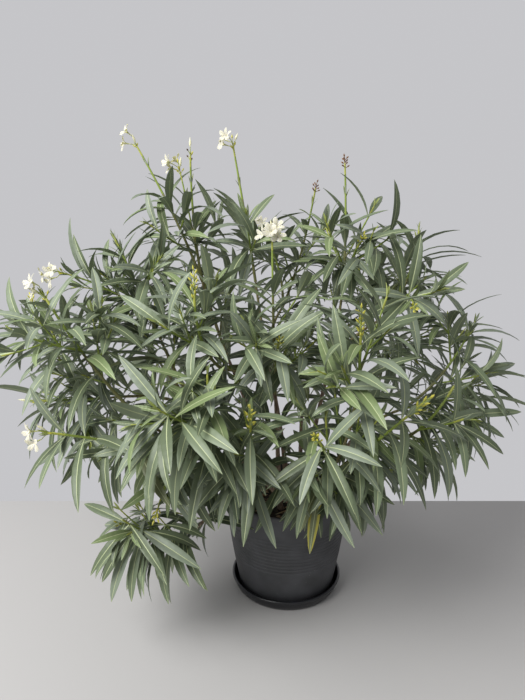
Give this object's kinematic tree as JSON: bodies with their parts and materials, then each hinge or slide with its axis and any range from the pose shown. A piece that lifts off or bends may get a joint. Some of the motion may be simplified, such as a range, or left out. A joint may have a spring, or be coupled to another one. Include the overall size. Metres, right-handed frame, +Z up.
{
  "type": "potted oleander",
  "caption": "Flowering evergreen shrub with several stems, narrow leaves in whorls and small white flowers, growing in a round pot on a saucer.",
  "frame": {"origin": "centre of the saucer's flat underside, on the ground", "axes": "+Z up; -Y towards the front, the side that the picture shows; +X to the viewer's right, along the widest spread of the crown"},
  "size_m": [1.5948, 1.1152, 1.3909],
  "materials": {
    "saucer": "matt anthracite plastic, darker inside",
    "pot": "matt anthracite plastic with fine turned rings and light scuffs",
    "soil": "dark peaty soil with bark chips and dry leaves",
    "bark": "grey-brown bark with fine cracks and pale lenticels",
    "green_bark": "young olive-green bark with leaf scars",
    "foliage": "leathery grey-green leaves with a pale midrib, softly glossy"
  },
  "bodies": {
    "root": {"saucer": "saucer", "pot": "pot", "soil": "soil", "stem-left-front": "bark", "stem-foot-left": "bark", "stem-left": "bark", "stem-left-back": "bark", "stem-middle-back": "bark", "stem-middle": "bark", "stem-front": "bark", "stem-right-front": "bark", "stem-right": "bark", "stem-right-back": "bark", "stem-back": "bark", "bough-left-front": "green_bark", "bough-left-high": "green_bark", "bough-far-left": "green_bark", "bough-left-back": "green_bark", "bough-top-left": "green_bark", "bough-top-middle": "green_bark", "bough-back": "green_bark", "bough-front-high": "green_bark", "bough-front-left": "green_bark", "bough-front-right": "green_bark", "bough-right": "green_bark", "bough-right-front": "green_bark", "bough-top-right": "green_bark", "bough-right-high": "green_bark", "bough-back-right": "green_bark", "foliage-left-front": "foliage", "foliage-left-low": "foliage", "foliage-foot-left": "foliage", "foliage-left-high": "foliage", "foliage-far-left": "foliage", "foliage-far-left-low": "foliage", "foliage-left-back": "foliage", "foliage-top-far-left": "foliage", "foliage-top-left": "foliage", "foliage-back-left": "foliage", "foliage-top-middle": "foliage", "foliage-back-middle": "foliage", "foliage-back-top": "foliage", "foliage-middle": "foliage", "foliage-front-top": "foliage", "foliage-front-middle": "foliage", "foliage-front": "foliage", "foliage-front-left": "foliage", "foliage-front-right": "foliage", "foliage-right-front": "foliage", "foliage-front-right-high": "foliage", "foliage-right": "foliage", "foliage-far-right": "foliage", "foliage-right-low": "foliage", "foliage-top-right": "foliage", "foliage-middle-right": "foliage", "foliage-right-high": "foliage", "foliage-back-right": "foliage", "foliage-back-right-low": "foliage", "foliage-back-low": "foliage"}
  },
  "joints": []
}
